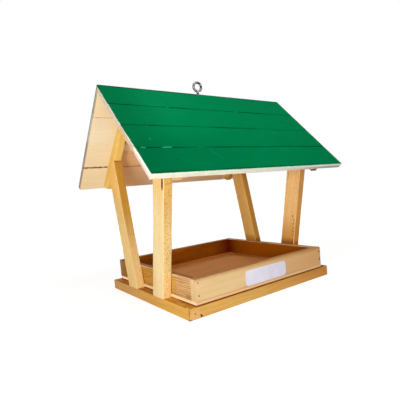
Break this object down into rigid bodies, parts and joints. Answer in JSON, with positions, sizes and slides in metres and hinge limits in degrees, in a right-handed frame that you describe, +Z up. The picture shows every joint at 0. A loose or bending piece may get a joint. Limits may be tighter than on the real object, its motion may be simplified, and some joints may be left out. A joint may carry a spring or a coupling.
{
  "type": "hanging bird table",
  "caption": "Hanging bird table: nailed pine tray on a mitred base frame, splayed posts at each end, rafters and a gabled tongue-and-groove roof with a screw eye in the ridge.",
  "frame": {"origin": "centre of the underside of the base frame, which is the centre of the whole part's bottom", "axes": "+X along the ridge, -Y towards the front, the side that the label is on, +Z up"},
  "size_m": [0.35, 0.2614, 0.3306],
  "materials": {
    "base_wood": "satin varnished pine",
    "tray_wood": "satin varnished pine",
    "plywood": "matt plywood",
    "post_wood": "satin varnished pine",
    "rafter_wood": "satin varnished pine",
    "painted_wood": "green paint on the outer face, bare pale wood on the edges and inside",
    "plated_steel": "bright zinc plated",
    "nail_steel": "dull"
  },
  "bodies": {
    "root": {"base_rail_front": "base_wood", "base_rail_rear": "base_wood", "base_rail_left": "base_wood", "base_rail_right": "base_wood", "tray_board_front": "tray_wood", "tray_board_rear": "tray_wood", "tray_side_left": "tray_wood", "tray_side_right": "tray_wood", "tray_floor": "plywood", "post_front_left": "post_wood", "post_front_right": "post_wood", "post_rear_left": "post_wood", "post_rear_right": "post_wood", "rafter_front_left": "rafter_wood", "rafter_front_right": "rafter_wood", "rafter_rear_left": "rafter_wood", "rafter_rear_right": "rafter_wood", "roof_board_front_1": "painted_wood", "roof_board_front_2": "painted_wood", "roof_board_front_3": "painted_wood", "roof_board_front_4": "painted_wood", "roof_board_rear_1": "painted_wood", "roof_board_rear_2": "painted_wood", "roof_board_rear_3": "painted_wood", "roof_board_rear_4": "painted_wood", "ridge_beam": "rafter_wood", "screw_eye": "plated_steel", "tray_pins": "nail_steel", "base_pins": "nail_steel", "roof_pins": "nail_steel", "floor_pins": "nail_steel", "foot_pins": "nail_steel", "post_pins": "nail_steel", "rafter_pins": "nail_steel", "ridge_pins": "nail_steel"}
  },
  "joints": []
}
